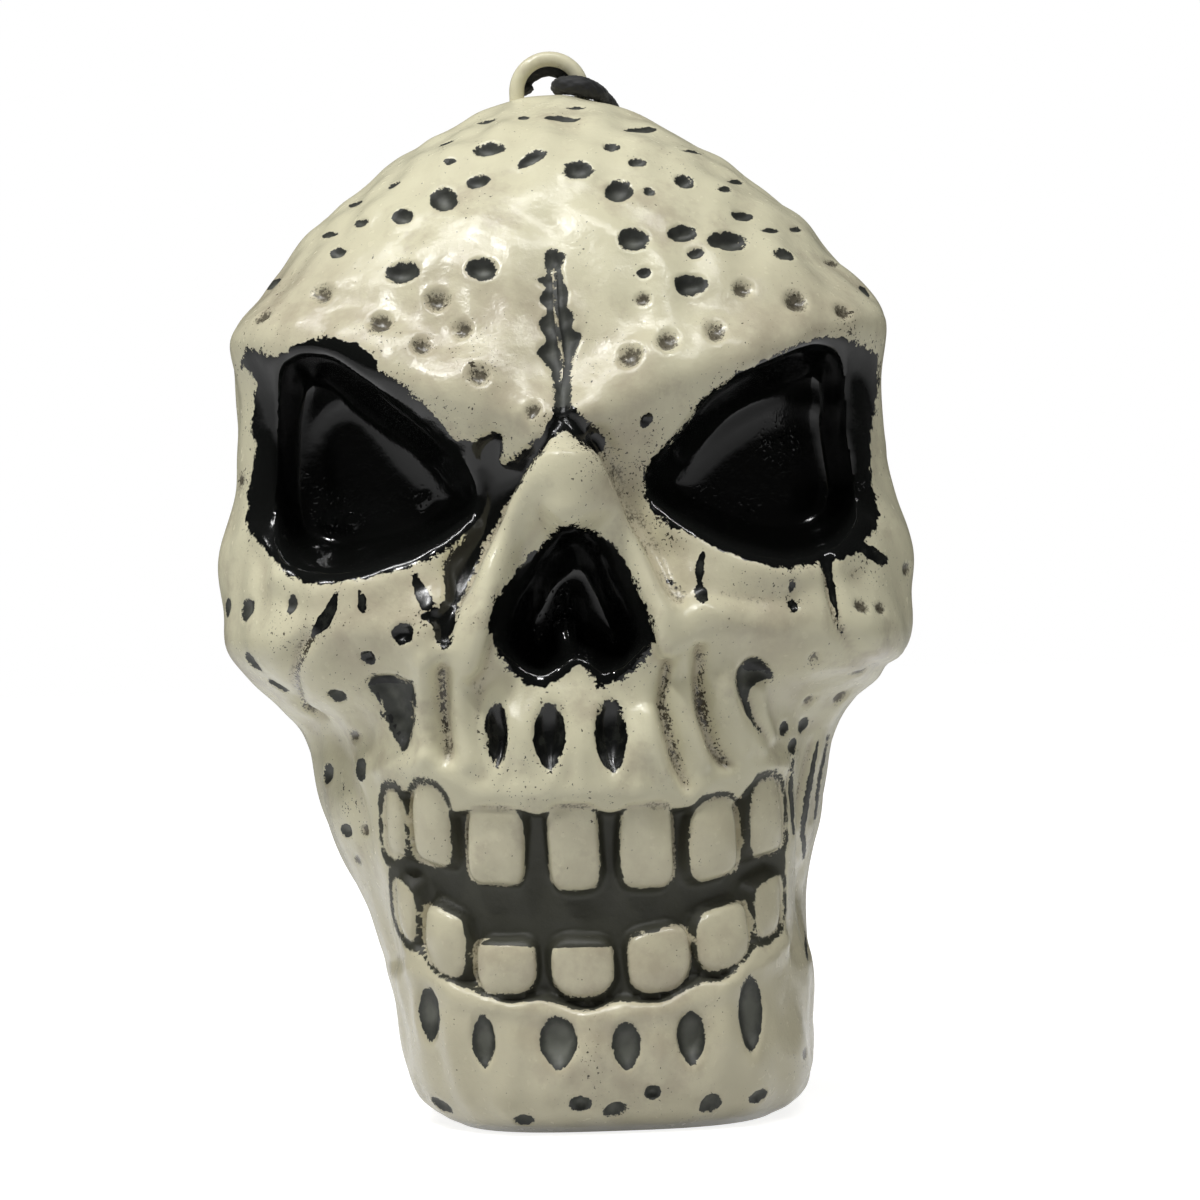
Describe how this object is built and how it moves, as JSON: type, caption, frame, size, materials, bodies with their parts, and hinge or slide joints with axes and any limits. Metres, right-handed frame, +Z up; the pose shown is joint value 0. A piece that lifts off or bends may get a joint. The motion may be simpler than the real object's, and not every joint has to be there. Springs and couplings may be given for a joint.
{
  "type": "halloween skull decoration",
  "caption": "Hollow moulded skull to hang up or stand, with black painted eyes and nose, bared teeth, a pitted bone coloured surface, a loop at the crown and a black cord.",
  "frame": {"origin": "on the flat base, under the middle of the skull's box", "axes": "+Z up from the base to the crown, -Y out of the face, +X to the right of someone who looks at the face"},
  "size_m": [0.1494, 0.156, 0.2319],
  "materials": {
    "bone_plastic": "satin bone paint with speckle, gloss black in the sockets and grey in the pits",
    "screw_steel": "zinc plated",
    "black_cord": "braided, slight sheen"
  },
  "bodies": {
    "root": {"face_shell": "bone_plastic", "back_shell": "bone_plastic", "hanging_loop": "bone_plastic", "shell_screw_lower_left": "screw_steel", "shell_screw_lower_right": "screw_steel", "shell_screw_middle_left": "screw_steel", "shell_screw_middle_right": "screw_steel", "shell_screw_upper_left": "screw_steel", "shell_screw_upper_right": "screw_steel", "cord_knot": "black_cord", "hang_cord": "black_cord", "cord_end_knot": "black_cord"}
  },
  "joints": []
}
